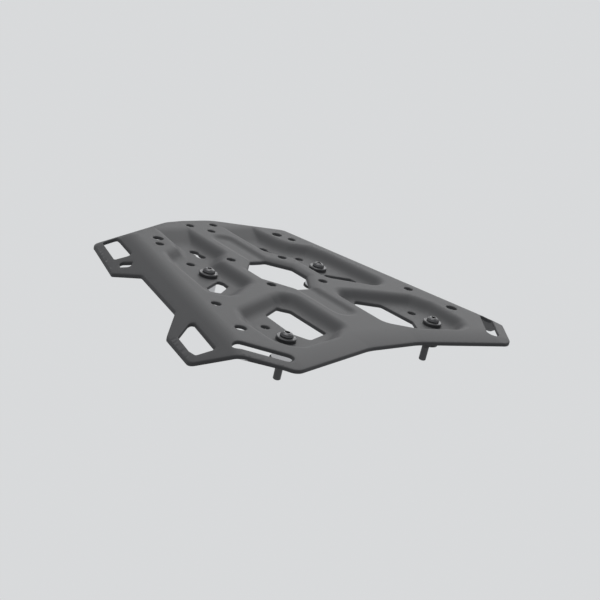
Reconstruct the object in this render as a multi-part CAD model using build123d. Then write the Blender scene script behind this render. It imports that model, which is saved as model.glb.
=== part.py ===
from build123d import *
import math
import os

# Luggage rack for a motorcycle: one pressed aluminium sheet on four spaced screws.
# While it is modelled, X points forward, Y to the left and Z up, in millimetres.
# X = 0 and Y = 0 are the middle of the central opening, and Z = 0 is the top of the deck.
# The left half mirrors the right half, so an outline is given for one half, with Y positive.
# The sheet is a top form minus an underside form. Each form is a block that bend spaces and
# pocket spaces are cut from. A space's "low" is 0 for the top and the sheet for the underside.

# Sheet
sheet = 3.0
space_height = 12.0
form_height = 50.0
form_size = 400.0
blank_height = 120.0

# Outline in plan
rear_edge_x = -123.0
rear_edge_half = 25.0
rear_corner_out = 17.0
rear_corner_along = 1.0
rear_lug_tip = (-116.0, 108.0)
rear_lug_front_x = -55.0
waist_rear_x = -27.0
waist_front_x = 44.0
front_lug_rear_x = 65.0
front_lug_front_x = 108.0
front_corner = (166.0, 116.0)
front_edge_x = 145.5
front_edge_half = 27.0
waist_skirt = 15.5
lug_skirt = 31.0

# Bends where the deck turns down into the skirts and rolls down to the front
crest_half = 108.0
crest_angle = 13.15
skirt_angle = 31.8
rear_crest_start = (-121.0, 30.0)
rear_crest_angle = 65.6
rear_skirt_angle = 32.5
bend_radius = 25.0
front_roll_width = 14.0
front_roll_angle = 11.5
corner_roll_width = 20.0
corner_roll_angle = 7.0
roll_radius = 120.0
bend_reach = 200.0
bend_length = 220.0

# Recesses pressed into the deck
recess_depth = 7.7
groove_depth = 2.5
form_radius = 10.0
wall_angle = 42.0
corner_round = 9.0
spine_half = 25.5
trough_rear_x = -112.0
trough_outer = 47.0
ramp_start_x = -109.0
ramp_radius = 30.0
ramp_angle = 20.0
groove_half = 9.5
rear_groove = (-84.0, -20.0)
front_groove = (20.0, 92.0)

# Openings
center_rear_x = -27.0
center_front_x = 34.5
center_half = 24.4
center_tip_half = 8.0
center_flat = (-9.0, 11.0)
rim_drop = 2.2
rim_width = 9.0
rim_overrun = 0.3
edge_round = 3.0
small_round = 2.0

# Holes
m6_clearance = 7.0
m8_clearance = 9.0
side_hole = 7.6
rear_pair_x = -110.4
rear_pair_spacing = 26.2
rear_center_x = -95.3
rear_pad_hole = (-82.2, 66.7)
rear_pad_hole_small = (-69.1, 73.9)
double_slot_center = (-60.6, 38.5)
double_slot_width = 8.0
double_slot_length = 18.0
double_slot_neck = 5.0
bay_hole = (-39.9, 60.7)
case_pattern_length = 55.0
case_pattern_width = 57.0
case_pattern_x = -0.7
side_pad_hole = (54.6, 105.7)
front_bay_hole = (86.1, 80.5)
front_pad_hole = (98.0, 115.4)
corner_slot_center = (135.0, 123.5)
corner_slot_length = 45.0
corner_slot_width = 10.5
rear_slot_length = 42.0
rear_slot_width = 6.5
rear_slot_offset = 8.0
rear_slot_along = 30.0

# Fixing stack at each of the four screws
rear_screw = (-14.6, 60.9)
front_screw = (110.2, 80.2)
screw_diameter = 6.0
screw_length = 35.0
thread_length = 12.0
grip_diameter = 5.5
head_diameter = 10.5
head_height = 3.3
head_rim = 0.9
head_flat_diameter = 5.5
head_step = (8.6, 2.4)
socket_across_flats = 4.0
socket_depth = 2.0
tip_chamfer = 0.6
ring_diameter = 12.6
ring_thickness = 1.2
collar_diameter = 15.6
collar_thickness = 3.2
collar_chamfer = 0.6
spacer_diameter = 16.0
spacer_length = 12.0
pad_diameter = 18.0
pad_thickness = 1.6
bore_clearance = 0.4


def crest_y(x):
    """Half width of the flat deck at this place, up to the bend of the side skirt."""
    return crest_half + x * math.tan(math.radians(crest_angle))


def heading(start, end):
    """Direction from start to end in plan, in degrees."""
    return math.degrees(math.atan2(end[1] - start[1], end[0] - start[0]))


def moved_left(place, angle, distance):
    """A place in plan moved to the left of a direction."""
    turn = math.radians(angle)
    return (place[0] - distance * math.sin(turn), place[1] + distance * math.cos(turn))


def moved_ahead(place, angle, distance):
    """A place in plan moved along a direction."""
    return moved_left(place, angle - 90, distance)


def recess_corners():
    """Rear recess: a trough beside the centre spine that opens into the bay of the rear screw."""
    x, y = rear_screw
    return [
        (trough_rear_x, spine_half),
        (x - 32.4, spine_half),
        (x - 13.4, y - 16.9),
        (x + 30.6, y - 16.9),
        (x + 51.6, y + 16.1),
        (x + 51.6, y + 27.1),
        (x + 42.6, y + 31.1),
        (x - 16.4, y + 22.6),
        (x - 33.9, y + 16.6),
        (x - 43.4, y - 0.9),
        (x - 55.4, y - 6.9),
        (trough_rear_x, trough_outer),
    ]


def front_bay_corners():
    """Bay around the front screw and the large front opening."""
    x, y = front_screw
    return [
        (x - 64.2, spine_half),
        (x - 1.2, spine_half),
        (x + 13.8, y - 34.2),
        (x + 22.8, y + 4.8),
        (x + 18.8, y + 14.3),
        (x + 8.8, y + 19.5),
        (x - 24.2, y + 19.5),
        (x - 40.2, y + 11.8),
        (x - 60.2, y - 36.2),
    ]


def center_opening_corners():
    """The central opening, eight-cornered and long in X, named anticlockwise."""
    rear_flat, front_flat = center_flat
    return [
        (center_rear_x, center_tip_half),
        (center_rear_x, -center_tip_half),
        (rear_flat, -center_half),
        (front_flat, -center_half),
        (center_front_x, -center_tip_half),
        (center_front_x, center_tip_half),
        (front_flat, center_half),
        (rear_flat, center_half),
    ]


def front_opening_corners():
    """Large opening beside the front screw."""
    x, y = front_screw
    return [
        (x - 48.2, y - 45.2),
        (x - 55.2, y - 37.2),
        (x - 44.2, y - 16.2),
        (x - 9.2, y - 13.7),
        (x + 3.8, y - 21.2),
        (x - 4.2, y - 45.2),
    ]


def rear_opening_corners():
    """Small slanted opening in front of the rear screw."""
    x, y = rear_screw
    return [
        (x + 11.6, y - 1.9),
        (x + 15.6, y - 4.4),
        (x + 23.6, y - 3.4),
        (x + 35.1, y + 13.1),
        (x + 31.1, y + 19.6),
        (x + 23.6, y + 18.6),
    ]


def outside_crest(places):
    """Corners in plan from places along X and distances outward from the side crest."""
    return [(x, crest_y(x) + out) for x, out in places]


def rear_eye_corners():
    """Strap eye in the rear lug."""
    return outside_crest([(-110.0, 21.0), (-72.0, 22.8), (-62.5, 10.0), (-104.0, 9.5)])


def hook_slot_corners():
    """Small slot in the rear lug, in front of its strap eye."""
    return outside_crest([(-64.5, 21.5), (-56.5, 23.5), (-48.0, 17.5), (-53.0, 13.8)])


def front_eye_corners():
    """Strap eye in the front lug."""
    return outside_crest(
        [(66.5, 13.0), (74.0, 25.5), (96.0, 26.0), (104.5, 24.5), (112.5, 12.0), (71.0, 11.0)]
    )


def front_lug_corner():
    """Outer front corner of the front lug, where the long slanted front edge starts."""
    return (front_lug_front_x, crest_y(front_lug_front_x) + lug_skirt)


def beside_rear_crest(along, out):
    """A place in plan, along the rear crest and outward from it."""
    return moved_left(moved_ahead(rear_crest_start, rear_crest_angle, along), rear_crest_angle, out)


def section_face(edges, corners):
    """Section closed by straight lines through the corners."""
    lines = [Edge.make_line(start, end) for start, end in zip(corners, corners[1:])]
    return Face(Wire(edges + lines))


def wall_section(depth, low, radius, angle, reach=0.0):
    """Section of the space over a pressed wall, and the run from its middle to either end.

    X points outward from the wall's middle and Y up. The wall is an arc, a slope and an arc.
    The floor goes on inward by the reach.
    """
    steepest = math.acos(max(-1.0, 1 - depth / (2 * radius)))
    slope = min(math.radians(angle), steepest)
    arc_drop = radius * (1 - math.cos(slope))
    half_run = radius * math.sin(slope) + (depth - 2 * arc_drop) / (2 * math.tan(slope))

    def rim_point(turn):
        out = Vector(-math.sin(turn), math.cos(turn))
        return Vector(half_run, -radius) + out * (radius - low)

    def floor_point(turn):
        out = Vector(math.sin(turn), -math.cos(turn))
        return Vector(-half_run, radius - depth) + out * (radius + low)

    edges = [
        Edge.make_three_point_arc(rim_point(0), rim_point(slope / 2), rim_point(slope)),
        Edge.make_three_point_arc(floor_point(slope), floor_point(slope / 2), floor_point(0)),
    ]
    if slope < steepest:
        edges.insert(1, Edge.make_line(rim_point(slope), floor_point(slope)))
    end = floor_point(0)
    inner = end - Vector(reach, 0)
    corners = [inner, Vector(inner.X, space_height), Vector(half_run, space_height), rim_point(0)]
    if reach > 0:
        corners.insert(0, end)
    return section_face(edges, corners), half_run


def rim_section(low):
    """Section of the space over the rolled rim of the central opening, outward from its edge."""
    radius = (rim_width ** 2 + rim_drop ** 2) / (2 * rim_drop)
    turn = math.asin((rim_width + rim_overrun) / (radius - sheet))

    def point(share):
        out = Vector(-math.sin(turn * share), math.cos(turn * share))
        return Vector(rim_width, -radius) + out * (radius - low)

    arc = Edge.make_three_point_arc(point(0), point(0.5), point(1))
    top = Vector(rim_width, space_height)
    return section_face([arc], [point(1), Vector(point(1).X, space_height), top, point(0)])


def rounded_path(corners, radius):
    """Closed path with straight sides and rounded corners."""
    return Wire(FilletPolyline(*corners, radius=radius, close=True).edges())


def swept_round(path, section):
    """Section swept round an anticlockwise path, with its X outward."""
    ahead = path.tangent_at(0)
    across = Plane(origin=path.position_at(0), x_dir=(ahead.Y, -ahead.X, 0), z_dir=-ahead)
    return Solid.sweep(across.from_local_coords(section), path)


def pocket_space(path, depth, low):
    """Space over a pocket whose walls have their middle line on the path."""
    section, half_run = wall_section(depth, low, form_radius, wall_angle)
    floor = -depth - low
    inner = Pos(0, 0, floor) * offset(make_face(path), -half_run)
    core = extrude(inner, amount=space_height - floor, dir=(0, 0, 1))
    return swept_round(path, section) + core


def recess_space(low):
    """Space over the rear recess, whose floor comes up a ramp at the rear."""
    pocket = pocket_space(rounded_path(recess_corners(), corner_round), recess_depth, low)
    section, half_run = wall_section(recess_depth, low, ramp_radius, ramp_angle, form_size / 2)
    upright = Plane(origin=(ramp_start_x + half_run, 0, 0), x_dir=(-1, 0, 0), z_dir=(0, 1, 0))
    return pocket & extrude(upright.from_local_coords(section), amount=form_size / 2, both=True)


def groove_space(ends, low):
    """Space over a groove with round ends on the centre line."""
    start, end = ends
    shape = Pos((start + end) / 2, 0) * SlotOverall(end - start, 2 * groove_half)
    return pocket_space(shape.wire(), groove_depth, low)


def bend_space(place, direction, angle, radius, low):
    """Space over a bend line and over the skirt to the left of it."""
    turn = math.radians(angle)
    tangent = radius * math.tan(turn / 2)

    def point(share):
        out = Vector(math.sin(turn * share), math.cos(turn * share))
        return Vector(-tangent, -radius) + out * (radius - low)

    arc = Edge.make_three_point_arc(point(0), point(0.5), point(1))
    far = point(1) + Vector(bend_reach, -bend_reach * math.tan(turn))
    corners = [
        point(1),
        far,
        Vector(far.X, space_height),
        Vector(-tangent, space_height),
        point(0),
    ]
    ahead = math.radians(direction)
    across = Plane(
        origin=(*place, 0),
        x_dir=(-math.sin(ahead), math.cos(ahead), 0),
        z_dir=(math.cos(ahead), math.sin(ahead), 0),
    )
    section = across.from_local_coords(section_face([arc], corners))
    return extrude(section, amount=bend_length, both=True)


def front_roll_space(low):
    """Space over the front edge's roll, which follows the hollow front outline."""
    center_end = (front_edge_x, front_edge_half)
    flank_direction = heading(front_corner, center_end)
    flank_start = moved_left(center_end, flank_direction, -front_roll_width)
    flank = bend_space(flank_start, flank_direction, front_roll_angle, roll_radius, low)
    center_start = (front_edge_x - front_roll_width, 0)
    center = bend_space(center_start, -90, front_roll_angle, roll_radius, low)
    return center & flank & mirror(flank, about=Plane.XZ)


def corner_roll_space(low):
    """Space over the slight roll along the long slanted front edge."""
    direction = heading(front_lug_corner(), front_corner)
    start = moved_left(front_corner, direction, -corner_roll_width)
    return bend_space(start, direction, corner_roll_angle, roll_radius, low)


def both_sides(shape):
    """A shape of the left half and its mirror image."""
    return [shape, mirror(shape, about=Plane.XZ)]


def form_spaces(low):
    """Every space that is cut from the top form, or from the underside form."""
    side_skirt = bend_space((0, crest_half), crest_angle, skirt_angle, bend_radius, low)
    rear_skirt = bend_space(rear_crest_start, rear_crest_angle, rear_skirt_angle, bend_radius, low)
    front_bay = pocket_space(rounded_path(front_bay_corners(), corner_round), recess_depth, low)
    opening_path = rounded_path(center_opening_corners(), edge_round)
    spaces = both_sides(side_skirt) + both_sides(rear_skirt) + both_sides(corner_roll_space(low))
    spaces += [front_roll_space(low)]
    spaces += both_sides(recess_space(low)) + both_sides(front_bay)
    spaces += [groove_space(rear_groove, low), groove_space(front_groove, low)]
    return spaces + [swept_round(opening_path, rim_section(low))]


def rounded_face(corners, radius):
    """Flat face with straight sides and rounded corners, of one radius or one each."""
    return make_face(FilletPolyline(*corners, radius=radius, close=True))


def outline_face():
    """Outline of the sheet in plan, both halves."""
    half = [
        ((rear_edge_x, rear_edge_half), 10.0),
        (beside_rear_crest(rear_corner_along, rear_corner_out), 8.0),
        (rear_lug_tip, 12.0),
        ((rear_lug_front_x, crest_y(rear_lug_front_x) + lug_skirt), 5.0),
        ((waist_rear_x, crest_y(waist_rear_x) + waist_skirt), 6.0),
        ((waist_front_x, crest_y(waist_front_x) + waist_skirt), 4.0),
        ((front_lug_rear_x, crest_y(front_lug_rear_x) + lug_skirt), 7.0),
        (front_lug_corner(), 9.0),
        (front_corner, 11.0),
        ((front_edge_x, front_edge_half), 40.0),
    ]
    other = [((x, -y), radius) for (x, y), radius in reversed(half)]
    corners, radii = zip(*(half + other))
    return rounded_face(corners, list(radii))


def round_hole(place, diameter):
    """Round hole at a place in plan."""
    return Pos(*place) * Circle(diameter / 2)


def slot(place, length, width, angle):
    """Slot with round ends, turned in plan."""
    return Pos(*place) * Rot(0, 0, angle) * SlotOverall(length, width)


def double_slot():
    """Two round lobes joined by a waist that two arcs draw in."""
    radius = double_slot_width / 2
    neck = double_slot_neck / 2
    lobe = (double_slot_length - double_slot_width) / 2
    waist = (lobe ** 2 + neck ** 2 - radius ** 2) / (2 * (radius - neck))
    share = radius / (radius + waist)
    touch_x = lobe * (1 - share)
    touch_y = (neck + waist) * share
    tip = lobe + radius
    arcs = [
        Edge.make_three_point_arc((touch_x, -touch_y), (tip, 0), (touch_x, touch_y)),
        Edge.make_three_point_arc((touch_x, touch_y), (0, neck), (-touch_x, touch_y)),
        Edge.make_three_point_arc((-touch_x, touch_y), (-tip, 0), (-touch_x, -touch_y)),
        Edge.make_three_point_arc((-touch_x, -touch_y), (0, -neck), (touch_x, -touch_y)),
    ]
    return Pos(*double_slot_center) * Face(Wire(arcs))


def half_cuts():
    """Every hole and opening of one half of the sheet."""
    corner_angle = heading(front_corner, front_lug_corner())
    rear_slot_center = beside_rear_crest(rear_slot_along, rear_slot_offset)
    cuts = [
        round_hole((rear_pair_x, rear_pair_spacing / 2), m6_clearance),
        round_hole(rear_pad_hole, m8_clearance),
        round_hole(rear_pad_hole_small, m6_clearance),
        double_slot(),
        round_hole(bay_hole, m6_clearance),
        round_hole(side_pad_hole, side_hole),
        round_hole(front_bay_hole, m6_clearance),
        round_hole(front_pad_hole, m8_clearance),
        round_hole(rear_screw, m6_clearance),
        round_hole(front_screw, m6_clearance),
        slot(corner_slot_center, corner_slot_length, corner_slot_width, corner_angle),
        slot(rear_slot_center, rear_slot_length, rear_slot_width, rear_crest_angle),
        rounded_face(front_opening_corners(), edge_round),
        rounded_face(rear_opening_corners(), small_round),
        rounded_face(rear_eye_corners(), edge_round),
        rounded_face(hook_slot_corners(), small_round),
        rounded_face(front_eye_corners(), small_round),
    ]
    for end in (-1, 1):
        x = case_pattern_x + end * case_pattern_length / 2
        cuts.append(round_hole((x, case_pattern_width / 2), side_hole))
    return cuts


def through(shape):
    """Tall block of a plan shape, higher and lower than the whole sheet."""
    low_shape = Pos(0, 0, -blank_height / 2) * (Sketch() + shape)
    return extrude(low_shape, amount=blank_height, dir=(0, 0, 1))


def form(low):
    """Block under the top surface, or under the underside."""
    block = Pos(0, 0, -low) * Box(
        form_size, form_size, form_height, align=(Align.CENTER, Align.CENTER, Align.MAX)
    )
    for space in form_spaces(low):
        block = block - space
    return block


def rack_plate():
    """The pressed sheet: what lies between the two forms, trimmed to the outline and pierced."""
    trimmed = form(0.0) & through(outline_face())
    pressed = trimmed - form(sheet)
    cutters = [
        through(round_hole((rear_center_x, 0), m6_clearance)),
        through(rounded_face(center_opening_corners(), edge_round)),
    ]
    for cut in half_cuts():
        cutters += both_sides(through(cut))
    return pressed - cutters


def turned(profile):
    """Solid of revolution from radius and height pairs, about the Z axis."""
    section = make_face(Polyline(*[(radius, 0, height) for radius, height in profile], close=True))
    return revolve(section, axis=Axis.Z)


def tube(diameter, bore, length):
    """Round sleeve standing on Z = 0."""
    inner = bore / 2
    outer = diameter / 2
    return turned([(inner, 0), (outer, 0), (outer, length), (inner, length)])


def collar():
    """Thick collar with a broken upper edge and a counterbore that the ring lies in."""
    inner = (screw_diameter + bore_clearance) / 2
    outer = collar_diameter / 2
    nest = (ring_diameter + bore_clearance) / 2
    nest_floor = collar_thickness - ring_thickness
    return turned(
        [
            (inner, 0),
            (outer, 0),
            (outer, collar_thickness - collar_chamfer),
            (outer - collar_chamfer, collar_thickness),
            (nest, collar_thickness),
            (nest, nest_floor),
            (inner, nest_floor),
        ]
    )


def screw():
    """Button-head screw with its head's seat at Z = 0, a thinner grip and a thread below."""
    thread = screw_diameter / 2
    grip = grip_diameter / 2
    head = head_diameter / 2
    step_diameter, step_height = head_step
    tip = -screw_length
    thread_top = tip + thread_length
    body = turned(
        [
            (0, tip),
            (thread - tip_chamfer, tip),
            (thread, tip + tip_chamfer),
            (thread, thread_top),
            (grip, thread_top + thread - grip),
            (grip, 0),
            (head, 0),
            (head, head_rim),
            (step_diameter / 2, step_height),
            (head_flat_diameter / 2, head_height),
            (0, head_height),
        ]
    )
    socket_radius = socket_across_flats / math.sqrt(3)
    socket = extrude(
        Pos(0, 0, head_height - socket_depth) * RegularPolygon(socket_radius, 6),
        amount=socket_depth + 1,
    )
    return body - socket


def fixing_stack():
    """The five pieces at one screw, each at its height below the deck."""
    floor = -recess_depth
    spacer_seat = floor - sheet - spacer_length
    pad_seat = spacer_seat - pad_thickness
    head_seat = floor + collar_thickness
    ring_seat = head_seat - ring_thickness
    bore = screw_diameter + bore_clearance
    return {
        "screw": Pos(0, 0, head_seat) * screw(),
        "ring": Pos(0, 0, ring_seat) * tube(ring_diameter, bore, ring_thickness),
        "collar": Pos(0, 0, floor) * collar(),
        "spacer": Pos(0, 0, spacer_seat) * tube(spacer_diameter, bore, spacer_length),
        "pad": Pos(0, 0, pad_seat) * tube(pad_diameter, bore, pad_thickness),
    }


def main():
    """Write every piece, with the part standing on its screw tips over the middle of its plan."""
    head_seat = collar_thickness - recess_depth
    plan_middle = outline_face().bounding_box().center()
    stand = Pos(-plan_middle.X, 0, screw_length - head_seat)
    os.makedirs("parts", exist_ok=True)
    export_step(stand * rack_plate(), "parts/rack_plate.step")
    places = {"rear": rear_screw, "front": front_screw}
    for end, (x, y) in places.items():
        for side_name, side in (("right", -1), ("left", 1)):
            for piece, solid in fixing_stack().items():
                placed = stand * Pos(x, side * y, 0) * solid
                export_step(placed, f"parts/{piece}_{end}_{side_name}.step")


main()
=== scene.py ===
import math

import bpy
import numpy as np
from mathutils import Matrix, Vector
from mathutils.geometry import delaunay_2d_cdt


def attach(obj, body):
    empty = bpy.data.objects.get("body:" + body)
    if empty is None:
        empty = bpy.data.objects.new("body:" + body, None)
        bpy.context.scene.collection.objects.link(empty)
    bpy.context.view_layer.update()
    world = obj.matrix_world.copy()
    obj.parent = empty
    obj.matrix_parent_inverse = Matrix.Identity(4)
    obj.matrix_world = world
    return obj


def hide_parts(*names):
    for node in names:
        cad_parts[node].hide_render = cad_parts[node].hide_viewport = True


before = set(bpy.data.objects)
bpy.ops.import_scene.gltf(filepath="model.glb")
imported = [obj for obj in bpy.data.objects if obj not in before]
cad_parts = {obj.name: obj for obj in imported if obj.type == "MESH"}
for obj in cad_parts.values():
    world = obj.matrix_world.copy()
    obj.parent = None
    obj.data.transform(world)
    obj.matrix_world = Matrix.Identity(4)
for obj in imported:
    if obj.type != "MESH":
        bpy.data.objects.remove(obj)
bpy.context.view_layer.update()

# The plate's look is built here from the dimensions of the CAD part, in millimetres.
# X points forward, Y to the left and Z up, from the middle of the central opening.
# MM turns a length into metres, and PLAN_MIDDLE and DECK_TOP move the plate onto the frame.
MM = 0.001
PLAN_MIDDLE = 14.844
DECK_TOP = 39.5

# Sheet and outline
SHEET = 3.0
REAR_EDGE_X = -123.0
REAR_EDGE_HALF = 25.0
REAR_CORNER_OUT = 17.0
REAR_CORNER_ALONG = 1.0
REAR_LUG_TIP = (-116.0, 108.0)
REAR_LUG_FRONT_X = -55.0
WAIST_REAR_X = -27.0
WAIST_FRONT_X = 44.0
FRONT_LUG_REAR_X = 65.0
FRONT_LUG_FRONT_X = 108.0
FRONT_CORNER = (166.0, 116.0)
FRONT_EDGE_X = 145.5
FRONT_EDGE_HALF = 27.0
WAIST_SKIRT = 15.5
LUG_SKIRT = 31.0

# Bends where the deck turns down into the skirts and rolls down to the front
CREST_HALF = 108.0
CREST_ANGLE = 13.15
SKIRT_ANGLE = 31.8
REAR_CREST_START = (-121.0, 30.0)
REAR_CREST_ANGLE = 65.6
REAR_SKIRT_ANGLE = 32.5
BEND_RADIUS = 25.0
FRONT_ROLL_WIDTH = 14.0
FRONT_ROLL_ANGLE = 11.5
CORNER_ROLL_WIDTH = 20.0
CORNER_ROLL_ANGLE = 7.0
ROLL_RADIUS = 120.0
CREASE_BLEND = 4.0

# Pressed relief
RECESS_DEPTH = 7.7
GROOVE_DEPTH = 2.5
FORM_RADIUS = 10.0
WALL_ANGLE = 42.0
CORNER_ROUND = 9.0
SPINE_HALF = 25.5
TROUGH_REAR_X = -112.0
TROUGH_OUTER = 47.0
RAMP_START_X = -109.0
RAMP_RADIUS = 30.0
RAMP_ANGLE = 20.0
GROOVE_HALF = 9.5
REAR_GROOVE = (-84.0, -20.0)
FRONT_GROOVE = (20.0, 92.0)

# Openings and holes
CENTER_REAR_X = -27.0
CENTER_FRONT_X = 34.5
CENTER_HALF = 24.4
CENTER_TIP_HALF = 8.0
CENTER_FLAT = (-9.0, 11.0)
RIM_DROP = 2.2
RIM_WIDTH = 9.0
EDGE_ROUND = 3.0
SMALL_ROUND = 2.0
M6_CLEARANCE = 7.0
M8_CLEARANCE = 9.0
SIDE_HOLE = 7.6
REAR_PAIR = (-110.4, 13.1)
REAR_CENTER_X = -95.3
REAR_PAD_HOLE = (-82.2, 66.7)
REAR_PAD_HOLE_SMALL = (-69.1, 73.9)
DOUBLE_SLOT = (-60.6, 38.5)
DOUBLE_SLOT_WIDTH = 8.0
DOUBLE_SLOT_LENGTH = 18.0
DOUBLE_SLOT_NECK = 5.0
BAY_HOLE = (-39.9, 60.7)
CASE_HOLES_X = (-28.2, 26.8)
CASE_HOLES_Y = 28.5
SIDE_PAD_HOLE = (54.6, 105.7)
FRONT_BAY_HOLE = (86.1, 80.5)
FRONT_PAD_HOLE = (98.0, 115.4)
CORNER_SLOT = (135.0, 123.5)
CORNER_SLOT_SIZE = (45.0, 10.5)
REAR_SLOT_SIZE = (42.0, 6.5)
REAR_SLOT_OFFSET = 8.0
REAR_SLOT_ALONG = 30.0
REAR_SCREW = (-14.6, 60.9)
FRONT_SCREW = (110.2, 80.2)

# Mesh fineness and the rounding of the sheet's cut edges
GRID = 1.25
GRID_SKIP = 3
BEND_PROBE = 3.0
BENT_ENOUGH = 0.02
EDGE_STEP = 1.6
ARC_STEP = 10.0
WALL_ARC_STEP = 3.0
EDGE_CLEAR = 1.1
TOP_EDGE = 0.9
LOW_EDGE = 0.5
EDGE_RINGS = 4
SLOPE_STEP = 0.5
TINY = 1e-9
MERGE_DISTANCE = 1e-6

# Finishes: colour, roughness, metallic and specular, then the grain's scale, strength and depth
FINISHES = {
    "powder_coat": ((0.088, 0.088, 0.09), 0.6, 0.0, 0.2, (1600.0, 0.25, 0.0002)),
    "black_screw": ((0.075, 0.075, 0.078), 0.38, 0.6, 0.5, (3000.0, 0.1, 0.0001)),
    "black_anodised": ((0.075, 0.075, 0.078), 0.4, 0.4, 0.5, (3000.0, 0.1, 0.0001)),
    "spacer_metal": ((0.55, 0.55, 0.56), 0.35, 1.0, 0.5, (2500.0, 0.1, 0.0001)),
    "pad_nylon": ((0.03, 0.03, 0.03), 0.6, 0.0, 0.5, (2000.0, 0.15, 0.0001)),
}
NODE_FINISHES = {
    "screw": "black_screw",
    "ring": "black_screw",
    "collar": "black_anodised",
    "spacer": "spacer_metal",
    "pad": "pad_nylon",
}
GRAIN_DETAIL = 3.0
SHARP_ANGLE = 35.0

# Camera, fitted to the photo
CAMERA_PLACE = (0.68366, -0.6596, 0.3475)
CAMERA_AZIMUTH = 44.8
CAMERA_DROP = 18.9
CAMERA_ROLL = 13.4
LENS = 72.0
SENSOR_WIDTH = 36.0
CLIP_START = 0.01

# Place, size and power of each softbox, the point they are turned toward, and the background
LIGHTS = {
    "back_light": ((-0.9, 1.2, 1.0), 1.5, 15.0),
    "top_light": ((-0.3, -0.2, 1.8), 1.2, 15.0),
}
MIDDLE = (0.0, 0.0, 0.03)
BACKDROP_COLOR = (0.69, 0.70, 0.71, 1.0)
FILL_COLOR = (0.93, 0.96, 1.0, 1.0)
FILL_STRENGTH = 0.26


# Height of the pressed sheet

def crest_y(x):
    """Half width of the flat deck, up to the bend of the side skirt."""
    return CREST_HALF + x * math.tan(math.radians(CREST_ANGLE))


def beyond(x, y, start, end):
    """Distance to the left of the line from start to end."""
    run_x = end[0] - start[0]
    run_y = end[1] - start[1]
    return (run_x * (y - start[1]) - run_y * (x - start[0])) / math.hypot(run_x, run_y)


def inside(x, y, corners):
    """Distance to a polygon's edge, positive inside it."""
    nearest = np.full(np.shape(x), np.inf)
    within = np.zeros(np.shape(x), bool)
    for (x0, y0), (x1, y1) in zip(corners, corners[1:] + corners[:1]):
        run_x = x1 - x0
        run_y = y1 - y0
        share = ((x - x0) * run_x + (y - y0) * run_y) / (run_x ** 2 + run_y ** 2)
        share = np.clip(share, 0.0, 1.0)
        nearest = np.minimum(nearest, np.hypot(x - x0 - share * run_x, y - y0 - share * run_y))
        if run_y:
            crosses = ((y0 > y) != (y1 > y)) & (x < run_x * (y - y0) / run_y + x0)
            within = within ^ crosses
    return np.where(within, nearest, -nearest)


def deepest(drops, width):
    """Largest of the drops, with the crease filled a little where two of them meet."""
    top = drops[0]
    for drop in drops[1:]:
        blend = np.minimum(width, np.minimum(top, drop)) + TINY
        near = np.maximum(0.0, blend - np.abs(top - drop))
        top = np.maximum(top, drop) + near * near / (4 * blend)
    return top


def bend_drop(distance, angle, radius):
    """Drop at a distance beyond a bend line: flat, then an arc, then a straight slope."""
    turn = math.radians(angle)
    tangent = radius * math.tan(turn / 2)
    along = np.clip(distance + tangent, 0.0, radius * math.sin(turn))
    arc = radius - np.sqrt(radius ** 2 - along ** 2)
    return arc + np.maximum(0.0, distance - tangent * math.cos(turn)) * math.tan(turn)


def wall_shape(depth, radius, angle):
    """Slope of a pressed wall, the run of one of its arcs and half the run of the whole wall."""
    slope = min(math.radians(angle), math.acos(max(-1.0, 1 - depth / (2 * radius))))
    arc_run = radius * math.sin(slope)
    arc_drop = radius * (1 - math.cos(slope))
    return slope, arc_run, arc_run + (depth - 2 * arc_drop) / (2 * math.tan(slope))


def pressed_wall(distance, depth, radius=FORM_RADIUS, angle=WALL_ANGLE):
    """Drop at a distance inside the middle line of a wall: arc, straight slope, arc."""
    slope, arc_run, half_run = wall_shape(depth, radius, angle)
    along = np.maximum(0.0, half_run - np.abs(distance))
    arc = radius - np.sqrt(radius ** 2 - np.minimum(along, arc_run) ** 2)
    drop = arc + np.maximum(0.0, along - arc_run) * math.tan(slope)
    return np.where(distance < 0, drop, depth - drop)


def around(place, offsets):
    """Corners given as offsets from a place."""
    return [(place[0] + x, place[1] + y) for x, y in offsets]


def beside_rear_crest(along, out):
    """Place in plan, along the rear crest and outward from it."""
    angle = math.radians(REAR_CREST_ANGLE)
    x = REAR_CREST_START[0] + along * math.cos(angle) - out * math.sin(angle)
    y = REAR_CREST_START[1] + along * math.sin(angle) + out * math.cos(angle)
    return x, y


def outside_crest(offsets):
    """Corners given as a place along X and a distance outward from the crest."""
    return [(x, crest_y(x) + out) for x, out in offsets]


recess = [
    (TROUGH_REAR_X, SPINE_HALF),
    (REAR_SCREW[0] - 32.4, SPINE_HALF),
    *around(
        REAR_SCREW,
        [
            (-13.4, -16.9), (30.6, -16.9), (51.6, 16.1), (51.6, 27.1), (42.6, 31.1),
            (-16.4, 22.6), (-33.9, 16.6), (-43.4, -0.9), (-55.4, -6.9),
        ],
    ),
    (TROUGH_REAR_X, TROUGH_OUTER),
]
front_bay = around(
    FRONT_SCREW,
    [
        (-64.2, SPINE_HALF - FRONT_SCREW[1]), (-1.2, SPINE_HALF - FRONT_SCREW[1]),
        (13.8, -34.2), (22.8, 4.8), (18.8, 14.3), (8.8, 19.5),
        (-24.2, 19.5), (-40.2, 11.8), (-60.2, -36.2),
    ],
)
center_opening = [
    (CENTER_REAR_X, -CENTER_TIP_HALF), (CENTER_REAR_X, CENTER_TIP_HALF),
    (CENTER_FLAT[0], CENTER_HALF), (CENTER_FLAT[1], CENTER_HALF),
    (CENTER_FRONT_X, CENTER_TIP_HALF), (CENTER_FRONT_X, -CENTER_TIP_HALF),
    (CENTER_FLAT[1], -CENTER_HALF), (CENTER_FLAT[0], -CENTER_HALF),
]
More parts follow.
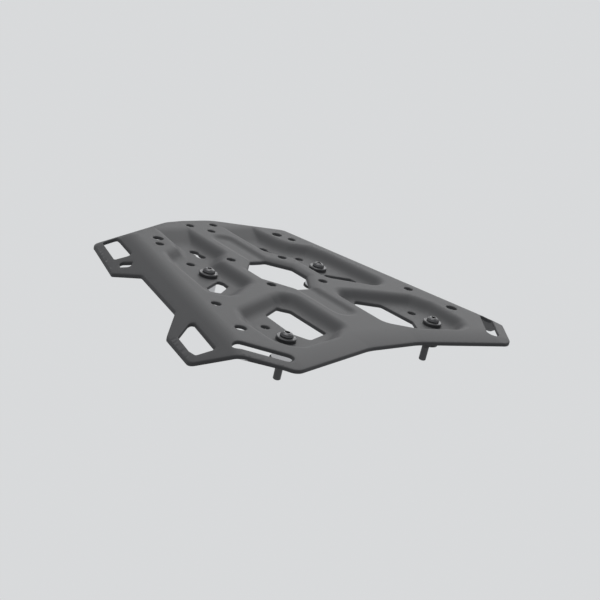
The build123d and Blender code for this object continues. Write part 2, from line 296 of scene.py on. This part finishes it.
front_opening = around(
    FRONT_SCREW,
    [(-48.2, -45.2), (-55.2, -37.2), (-44.2, -16.2), (-9.2, -13.7), (3.8, -21.2), (-4.2, -45.2)],
)
rear_opening = around(
    REAR_SCREW,
    [(11.6, -1.9), (15.6, -4.4), (23.6, -3.4), (35.1, 13.1), (31.1, 19.6), (23.6, 18.6)],
)
rear_eye = outside_crest([(-110.0, 21.0), (-72.0, 22.8), (-62.5, 10.0), (-104.0, 9.5)])
hook_slot = outside_crest([(-64.5, 21.5), (-56.5, 23.5), (-48.0, 17.5), (-53.0, 13.8)])
front_eye = outside_crest(
    [(66.5, 13.0), (74.0, 25.5), (96.0, 26.0), (104.5, 24.5), (112.5, 12.0), (71.0, 11.0)]
)
front_lug_corner = (FRONT_LUG_FRONT_X, crest_y(FRONT_LUG_FRONT_X) + LUG_SKIRT)


def rounded_loop(corners, radii, hole, arc_step=ARC_STEP, line_step=EDGE_STEP):
    """Polygon with rounded corners, as points and directions."""
    area = sum(x0 * y1 - x1 * y0 for (x0, y0), (x1, y1) in zip(corners, corners[1:] + corners[:1]))
    if area < 0:
        corners = corners[::-1]
        radii = radii[::-1]
    arcs = []
    count = len(corners)
    for i in range(count):
        corner = np.array(corners[i])
        come = corner - np.array(corners[i - 1])
        go = np.array(corners[(i + 1) % count]) - corner
        come = come / np.hypot(*come)
        go = go / np.hypot(*go)
        turn = math.atan2(come[0] * go[1] - come[1] * go[0], come @ go)
        bend = math.copysign(1.0, turn)
        start = corner - come * radii[i] * math.tan(abs(turn) / 2)
        center = start + bend * radii[i] * np.array([-come[1], come[0]])
        steps = max(2, math.ceil(math.degrees(abs(turn)) / arc_step))
        first = math.atan2(-come[0], come[1])
        arc = []
        for k in range(steps + 1):
            angle = first + turn * k / steps
            out = np.array([math.cos(angle), math.sin(angle)])
            arc.append((center + bend * radii[i] * out, out))
        arcs.append(arc)
    points = []
    outs = []
    for i in range(count):
        for point, out in arcs[i]:
            points.append(point)
            outs.append(out)
        end, out = arcs[i][-1]
        following = arcs[(i + 1) % count][0][0]
        steps = math.ceil(np.hypot(*(following - end)) / line_step)
        for k in range(1, steps):
            points.append(end + (following - end) * k / steps)
            outs.append(out)
    sign = -1.0 if hole else 1.0
    return np.array(points), sign * np.array(outs)


def wall_path(corners, radius):
    """Middle line of a pocket's wall, or the edge of an opening, with its corners rounded."""
    points, _ = rounded_loop(corners, [radius] * len(corners), False, WALL_ARC_STEP, math.inf)
    return [tuple(point) for point in points.tolist()]


recess_path = wall_path(recess, CORNER_ROUND)
front_bay_path = wall_path(front_bay, CORNER_ROUND)
opening_path = wall_path(center_opening, EDGE_ROUND)


def inside_near(x, y, path, reach):
    """Distance inside a path, worked out only where it is within reach of the path's box."""
    path_x, path_y = zip(*path)
    result = np.full(np.shape(x), -reach)
    close = (x > min(path_x) - reach) & (x < max(path_x) + reach)
    close &= (y > min(path_y) - reach) & (y < max(path_y) + reach)
    result[close] = inside(x[close], y[close], path)
    return result


def skirt_drops(x, y):
    """Drops of the skirts and rolls along the edges of the deck."""
    angle = math.radians(REAR_CREST_ANGLE)
    rear_crest_end = (REAR_CREST_START[0] + math.cos(angle), REAR_CREST_START[1] + math.sin(angle))
    side = math.cos(math.radians(CREST_ANGLE)) * (y - crest_y(x))
    rear = beyond(x, y, REAR_CREST_START, rear_crest_end)
    to_front_edge = beyond(x, y, (FRONT_EDGE_X, FRONT_EDGE_HALF), FRONT_CORNER)
    corner = CORNER_ROLL_WIDTH - beyond(x, y, FRONT_CORNER, front_lug_corner)
    center_roll = bend_drop(FRONT_ROLL_WIDTH - (FRONT_EDGE_X - x), FRONT_ROLL_ANGLE, ROLL_RADIUS)
    flank_roll = bend_drop(FRONT_ROLL_WIDTH - to_front_edge, FRONT_ROLL_ANGLE, ROLL_RADIUS)
    return [
        bend_drop(side, SKIRT_ANGLE, BEND_RADIUS),
        bend_drop(rear, REAR_SKIRT_ANGLE, BEND_RADIUS),
        bend_drop(corner, CORNER_ROLL_ANGLE, ROLL_RADIUS),
        np.minimum(center_roll, flank_roll),
    ]


def groove_inside(x, y, ends):
    """Distance inside a groove with round ends on the centre line."""
    middle_x = np.clip(x, ends[0] + GROOVE_HALF, ends[1] - GROOVE_HALF)
    return GROOVE_HALF - np.hypot(x - middle_x, y)


def deck_height(x, y):
    """Height of the top of the sheet."""
    y = np.abs(y)
    reach = RIM_WIDTH + FORM_RADIUS
    _, _, ramp_run = wall_shape(RECESS_DEPTH, RAMP_RADIUS, RAMP_ANGLE)
    ramp = pressed_wall(x - RAMP_START_X - ramp_run, RECESS_DEPTH, RAMP_RADIUS, RAMP_ANGLE)
    rim_radius = (RIM_WIDTH ** 2 + RIM_DROP ** 2) / (2 * RIM_DROP)
    rim_along = np.clip(RIM_WIDTH + inside_near(x, y, opening_path, reach), 0.0, RIM_WIDTH)
    return -deepest(
        skirt_drops(x, y)
        + [
            np.minimum(ramp, pressed_wall(inside_near(x, y, recess_path, reach), RECESS_DEPTH)),
            pressed_wall(inside_near(x, y, front_bay_path, reach), RECESS_DEPTH),
            pressed_wall(groove_inside(x, y, REAR_GROOVE), GROOVE_DEPTH),
            pressed_wall(groove_inside(x, y, FRONT_GROOVE), GROOVE_DEPTH),
            rim_radius - np.sqrt(rim_radius ** 2 - rim_along ** 2),
        ],
        CREASE_BLEND,
    )


def underside_height(x, y):
    """Height of the underside, one sheet below the top, measured square to the slope."""
    rise_x = deck_height(x + SLOPE_STEP, y) - deck_height(x - SLOPE_STEP, y)
    rise_y = deck_height(x, y + SLOPE_STEP) - deck_height(x, y - SLOPE_STEP)
    slope_x = rise_x / (2 * SLOPE_STEP)
    slope_y = rise_y / (2 * SLOPE_STEP)
    return deck_height(x, y) - SHEET * np.sqrt(1 + slope_x ** 2 + slope_y ** 2)


# Loops of the plan: points, and directions that point away from the material

def arc_loop(arcs):
    """Closed loop of arcs for a hole: each is centre, radius, start angle and turn in degrees."""
    points = []
    outs = []
    for center, radius, start, turn in arcs:
        steps = math.ceil(max(abs(turn) / ARC_STEP, math.radians(abs(turn)) * radius / EDGE_STEP))
        for k in range(steps):
            angle = math.radians(start + turn * k / steps)
            out = np.array([math.cos(angle), math.sin(angle)])
            points.append(np.array(center) + radius * out)
            outs.append(-out if turn > 0 else out)
    return np.array(points), np.array(outs)


def round_hole(place, diameter):
    """Round hole in plan."""
    return arc_loop([(place, diameter / 2, 0.0, 360.0)])


def slot(place, size, angle):
    """Slot with round ends, turned in plan."""
    length, width = size
    reach = (length - width) / 2
    along = np.array([math.cos(math.radians(angle)), math.sin(math.radians(angle))])
    across = np.array([-along[1], along[0]])
    radius = width / 2
    points = []
    outs = []
    for end in (1, -1):
        center = np.array(place) + end * reach * along
        steps = math.ceil(180.0 / ARC_STEP)
        for k in range(steps + 1):
            turn = math.pi * k / steps
            out = end * (math.sin(turn) * along - math.cos(turn) * across)
            points.append(center + radius * out)
            outs.append(-out)
        straight = math.ceil(2 * reach / EDGE_STEP)
        for k in range(1, straight):
            points.append(center + radius * end * across - end * along * 2 * reach * k / straight)
            outs.append(-end * across)
    return np.array(points), np.array(outs)


def double_slot():
    """Two round lobes joined by a waist that two arcs draw in."""
    x, y = DOUBLE_SLOT
    radius = DOUBLE_SLOT_WIDTH / 2
    lobe = (DOUBLE_SLOT_LENGTH - DOUBLE_SLOT_WIDTH) / 2
    neck = DOUBLE_SLOT_NECK / 2
    blend = (lobe ** 2 + neck ** 2 - radius ** 2) / (2 * (radius - neck))
    high = neck + blend
    meet = math.degrees(math.atan2(high, lobe))
    round_end = 360.0 - 2 * meet
    waist = 2 * meet - 180.0
    return arc_loop(
        [
            ((x + lobe, y), radius, meet - 180.0, round_end),
            ((x, y + high), blend, -meet, waist),
            ((x - lobe, y), radius, meet, round_end),
            ((x, y - high), blend, 180.0 - meet, waist),
        ]
    )


def mirrored(loop):
    """The same loop on the other half, still running the same way round."""
    points, outs = loop
    flip = np.array([1.0, -1.0])
    return (points * flip)[::-1], (outs * flip)[::-1]


def outline_loop():
    """Outline of the sheet, both halves, from corners and the radii that round them."""
    half = [
        ((REAR_EDGE_X, REAR_EDGE_HALF), 10.0),
        (beside_rear_crest(REAR_CORNER_ALONG, REAR_CORNER_OUT), 8.0),
        (REAR_LUG_TIP, 12.0),
        ((REAR_LUG_FRONT_X, crest_y(REAR_LUG_FRONT_X) + LUG_SKIRT), 5.0),
        ((WAIST_REAR_X, crest_y(WAIST_REAR_X) + WAIST_SKIRT), 6.0),
        ((WAIST_FRONT_X, crest_y(WAIST_FRONT_X) + WAIST_SKIRT), 4.0),
        ((FRONT_LUG_REAR_X, crest_y(FRONT_LUG_REAR_X) + LUG_SKIRT), 7.0),
        (front_lug_corner, 9.0),
        (FRONT_CORNER, 11.0),
        ((FRONT_EDGE_X, FRONT_EDGE_HALF), 40.0),
    ]
    other = [((x, -y), radius) for (x, y), radius in reversed(half)]
    corners, radii = zip(*(half + other))
    return rounded_loop(list(corners), list(radii), hole=False)


def opening_loop(corners, radius):
    """Opening with straight sides and rounded corners."""
    return rounded_loop(corners, [radius] * len(corners), hole=True)


def hole_loops():
    """Every hole and opening of the sheet."""
    corner_x = FRONT_CORNER[0] - front_lug_corner[0]
    corner_y = FRONT_CORNER[1] - front_lug_corner[1]
    corner_angle = math.degrees(math.atan2(corner_y, corner_x))
    rear_slot = beside_rear_crest(REAR_SLOT_ALONG, REAR_SLOT_OFFSET)
    half = [
        round_hole(REAR_PAIR, M6_CLEARANCE),
        round_hole(REAR_PAD_HOLE, M8_CLEARANCE),
        round_hole(REAR_PAD_HOLE_SMALL, M6_CLEARANCE),
        double_slot(),
        round_hole(BAY_HOLE, M6_CLEARANCE),
        round_hole(SIDE_PAD_HOLE, SIDE_HOLE),
        round_hole(FRONT_BAY_HOLE, M6_CLEARANCE),
        round_hole(FRONT_PAD_HOLE, M8_CLEARANCE),
        round_hole(REAR_SCREW, M6_CLEARANCE),
        round_hole(FRONT_SCREW, M6_CLEARANCE),
        slot(CORNER_SLOT, CORNER_SLOT_SIZE, corner_angle),
        slot(rear_slot, REAR_SLOT_SIZE, REAR_CREST_ANGLE),
        opening_loop(front_opening, EDGE_ROUND),
        opening_loop(rear_opening, SMALL_ROUND),
        opening_loop(rear_eye, EDGE_ROUND),
        opening_loop(hook_slot, SMALL_ROUND),
        opening_loop(front_eye, SMALL_ROUND),
    ]
    half += [round_hole((x, CASE_HOLES_Y), SIDE_HOLE) for x in CASE_HOLES_X]
    middle = [
        round_hole((REAR_CENTER_X, 0.0), M6_CLEARANCE),
        opening_loop(center_opening, EDGE_ROUND),
    ]
    return half + [mirrored(loop) for loop in half] + middle


# Meshes

def within(points, polygon):
    """Whether each point is inside a polygon."""
    x, y = points[:, 0], points[:, 1]
    result = np.zeros(len(points), bool)
    for (x0, y0), (x1, y1) in zip(polygon, np.roll(polygon, -1, axis=0)):
        if y0 != y1:
            result ^= ((y0 > y) != (y1 > y)) & (x < (x1 - x0) * (y - y0) / (y1 - y0) + x0)
    return result


def near(points, polygon, reach):
    """Whether each point is within reach of a polygon's edge."""
    low = polygon.min(axis=0) - reach
    high = polygon.max(axis=0) + reach
    chosen = np.flatnonzero(((points > low) & (points < high)).all(axis=1))
    result = np.zeros(len(points), bool)
    part = points[chosen]
    for start, end in zip(polygon, np.roll(polygon, -1, axis=0)):
        run = end - start
        share = np.clip((part - start) @ run / (run @ run), 0.0, 1.0)
        gap = part - start - share[:, None] * run
        result[chosen[(gap ** 2).sum(axis=1) < reach ** 2]] = True
    return result


def make_object(name, vertices, faces):
    """Smooth-shaded mesh object, from millimetres."""
    mesh = bpy.data.meshes.new(name)
    mesh.from_pydata((np.asarray(vertices) * MM).tolist(), [], faces)
    mesh.validate()
    mesh.shade_smooth()
    thing = bpy.data.objects.new(name, mesh)
    bpy.context.scene.collection.objects.link(thing)
    return thing


def bent(points):
    """Whether the sheet is bent at each point, so that it needs a fine mesh there."""
    x, y = points.T
    middle = deck_height(x, y)
    along_x = deck_height(x + BEND_PROBE, y) + deck_height(x - BEND_PROBE, y) - 2 * middle
    along_y = deck_height(x, y + BEND_PROBE) + deck_height(x, y - BEND_PROBE) - 2 * middle
    return np.abs(along_x) + np.abs(along_y) > BENT_ENOUGH


def plan_triangles(loops):
    """Plan points, loops first and then a grid between them, and the triangles over them."""
    edges = [points - TOP_EDGE * outs for points, outs in loops]
    low = edges[0].min(axis=0)
    high = edges[0].max(axis=0)
    columns, rows = np.meshgrid(
        np.arange(low[0], high[0], GRID * math.sqrt(3) / 2), np.arange(low[1], high[1], GRID)
    )
    shift = (np.arange(columns.shape[1]) % 2) * GRID / 2
    grid = np.column_stack([columns.ravel(), (rows + shift).ravel()])
    column = np.broadcast_to(np.arange(columns.shape[1]), columns.shape).ravel()
    row = np.broadcast_to(np.arange(columns.shape[0])[:, None], columns.shape).ravel()
    coarse = (column % GRID_SKIP == 0) & ((row + (column // GRID_SKIP) % 2) % GRID_SKIP == 0)
    keep = (coarse | bent(grid)) & within(grid, edges[0])
    for edge in edges:
        keep &= ~near(grid, edge, EDGE_CLEAR)
    for edge in edges[1:]:
        keep &= ~within(grid, edge)
    points = np.vstack(edges + [grid[keep]])
    links = []
    first = 0
    for edge in edges:
        count = len(edge)
        links += [(first + i, first + (i + 1) % count) for i in range(count)]
        first += count
    flat, _, triangles, origin, _, _ = delaunay_2d_cdt(
        [Vector(p) for p in points], links, [], 0, MERGE_DISTANCE
    )
    index = [ids[0] for ids in origin]
    triangles = np.array([[index[v] for v in t] for t in triangles])
    middles = points[triangles].mean(axis=1)
    good = within(middles, edges[0])
    for edge in edges[1:]:
        good &= ~within(middles, edge)
    return points, triangles[good]


def lifted(plan, heights):
    """Plan points with their heights."""
    return np.column_stack([plan, heights])


def edge_rings(points, outs):
    """Rings round the cut edge between the top and the underside, from the top down."""
    rings = []
    for k in range(1, EDGE_RINGS + 1):
        angle = math.pi / 2 * k / EDGE_RINGS
        plan = points - outs * TOP_EDGE * (1 - math.sin(angle))
        drop = TOP_EDGE * (1 - math.cos(angle))
        rings.append(lifted(plan, deck_height(*plan.T) - drop))
    for k in range(EDGE_RINGS, 0, -1):
        angle = math.pi / 2 * k / EDGE_RINGS
        plan = points - outs * LOW_EDGE * (1 - math.sin(angle))
        rise = LOW_EDGE * (1 - math.cos(angle))
        rings.append(lifted(plan, underside_height(*plan.T) + rise))
    return rings


def build_plate():
    """The pressed sheet with every opening and with rounded cut edges."""
    loops = [outline_loop()] + hole_loops()
    plan, triangles = plan_triangles(loops)
    low_plan = plan.copy()
    first = 0
    for points, outs in loops:
        low_plan[first:first + len(points)] = points - LOW_EDGE * outs
        first += len(points)
    top = lifted(plan, deck_height(*plan.T))
    low = lifted(low_plan, underside_height(*low_plan.T))
    count = len(plan)
    parts = [top, low]
    faces = triangles.tolist() + (triangles[:, ::-1] + count).tolist()
    first = 0
    new = 2 * count
    for number, (points, outs) in enumerate(loops):
        size = len(points)
        levels = [np.arange(first, first + size)]
        for ring in edge_rings(points, outs):
            parts.append(ring)
            levels.append(np.arange(new, new + size))
            new += size
        levels.append(np.arange(first, first + size) + count)
        for upper, lower in zip(levels, levels[1:]):
            quads = np.column_stack([lower, np.roll(lower, -1), np.roll(upper, -1), upper])
            faces += (quads if number == 0 else quads[:, ::-1]).tolist()
        first += size
    vertices = np.vstack(parts) + [-PLAN_MIDDLE, 0.0, DECK_TOP]
    return make_object("plate", vertices, faces)


# Materials

def new_material(name, color, roughness, metallic, specular, grain):
    """Principled material with a fine grain."""
    material = bpy.data.materials.new(name)
    material.use_nodes = True
    tree = material.node_tree
    shader = tree.nodes["Principled BSDF"]
    shader.inputs["Base Color"].default_value = (*color, 1.0)
    shader.inputs["Roughness"].default_value = roughness
    shader.inputs["Metallic"].default_value = metallic
    shader.inputs["Specular IOR Level"].default_value = specular
    add_grain(tree, shader, *grain)
    return material


def add_grain(tree, shader, scale, strength, distance):
    """Fine bumps from a noise texture in object space."""
    place = tree.nodes.new("ShaderNodeTexCoord")
    noise = tree.nodes.new("ShaderNodeTexNoise")
    noise.inputs["Scale"].default_value = scale
    noise.inputs["Detail"].default_value = GRAIN_DETAIL
    bump = tree.nodes.new("ShaderNodeBump")
    bump.inputs["Strength"].default_value = strength
    bump.inputs["Distance"].default_value = distance
    tree.links.new(place.outputs["Object"], noise.inputs["Vector"])
    tree.links.new(noise.outputs["Fac"], bump.inputs["Height"])
    tree.links.new(bump.outputs["Normal"], shader.inputs["Normal"])


materials = {name: new_material(name, *finish) for name, finish in FINISHES.items()}


def wear(piece, material, node):
    """The piece takes a material, and stands for a node of the frame."""
    piece.data.materials.clear()
    piece.data.materials.append(material)
    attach(piece, "root")
    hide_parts(node)


wear(build_plate(), materials["powder_coat"], "rack_plate")

for node_name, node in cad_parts.items():
    family = node_name.split("_")[0]
    if family in NODE_FINISHES:
        node.data.materials.clear()
        node.data.materials.append(materials[NODE_FINISHES[family]])
        node.data.shade_smooth()
        node.data.set_sharp_from_angle(angle=math.radians(SHARP_ANGLE))


# Camera, light and background

def camera_axes():
    """Right, down and forward directions of the camera."""
    azimuth = math.radians(CAMERA_AZIMUTH)
    drop = math.radians(CAMERA_DROP)
    roll = math.radians(CAMERA_ROLL)
    forward = Vector(
        (-math.cos(azimuth) * math.cos(drop), math.sin(azimuth) * math.cos(drop), -math.sin(drop))
    )
    level = forward.cross(Vector((0.0, 0.0, 1.0))).normalized()
    down = forward.cross(level)
    right = math.cos(roll) * level - math.sin(roll) * down
    return right, math.sin(roll) * level + math.cos(roll) * down, forward


right, down, forward = camera_axes()
camera_data = bpy.data.cameras.new("camera")
camera_data.lens = LENS
camera_data.sensor_width = SENSOR_WIDTH
camera_data.clip_start = CLIP_START
camera = bpy.data.objects.new("camera", camera_data)
turn = Matrix((right, -down, -forward)).transposed()
camera.matrix_world = Matrix.Translation(CAMERA_PLACE) @ turn.to_4x4()
bpy.context.scene.collection.objects.link(camera)
bpy.context.scene.camera = camera


def softbox(name, place, size, power):
    """Square area light at a place, turned toward the middle of the rack."""
    data = bpy.data.lights.new(name, "AREA")
    data.shape = "SQUARE"
    data.size = size
    data.energy = power
    light = bpy.data.objects.new(name, data)
    light.location = place
    aim = Vector(MIDDLE) - Vector(place)
    light.rotation_euler = aim.to_track_quat("-Z", "Y").to_euler()
    bpy.context.scene.collection.objects.link(light)


for light_name, setup in LIGHTS.items():
    softbox(light_name, *setup)

world = bpy.data.worlds.new("studio")
bpy.context.scene.world = world
world.use_nodes = True
nodes = world.node_tree.nodes
links = world.node_tree.links
nodes.clear()
output = nodes.new("ShaderNodeOutputWorld")
choose = nodes.new("ShaderNodeMixShader")
seen = nodes.new("ShaderNodeBackground")
seen.inputs["Color"].default_value = BACKDROP_COLOR
fill = nodes.new("ShaderNodeBackground")
fill.inputs["Color"].default_value = FILL_COLOR
fill.inputs["Strength"].default_value = FILL_STRENGTH
path = nodes.new("ShaderNodeLightPath")
camera_or_glossy = nodes.new("ShaderNodeMath")
camera_or_glossy.operation = "MAXIMUM"
links.new(path.outputs["Is Camera Ray"], camera_or_glossy.inputs[0])
links.new(path.outputs["Is Glossy Ray"], camera_or_glossy.inputs[1])
shows_backdrop = nodes.new("ShaderNodeMath")
shows_backdrop.operation = "MAXIMUM"
links.new(camera_or_glossy.outputs["Value"], shows_backdrop.inputs[0])
links.new(path.outputs["Is Transmission Ray"], shows_backdrop.inputs[1])
links.new(shows_backdrop.outputs["Value"], choose.inputs["Fac"])
links.new(fill.outputs["Background"], choose.inputs[1])
links.new(seen.outputs["Background"], choose.inputs[2])
links.new(choose.outputs["Shader"], output.inputs["Surface"])

bpy.context.scene.view_settings.view_transform = "Standard"
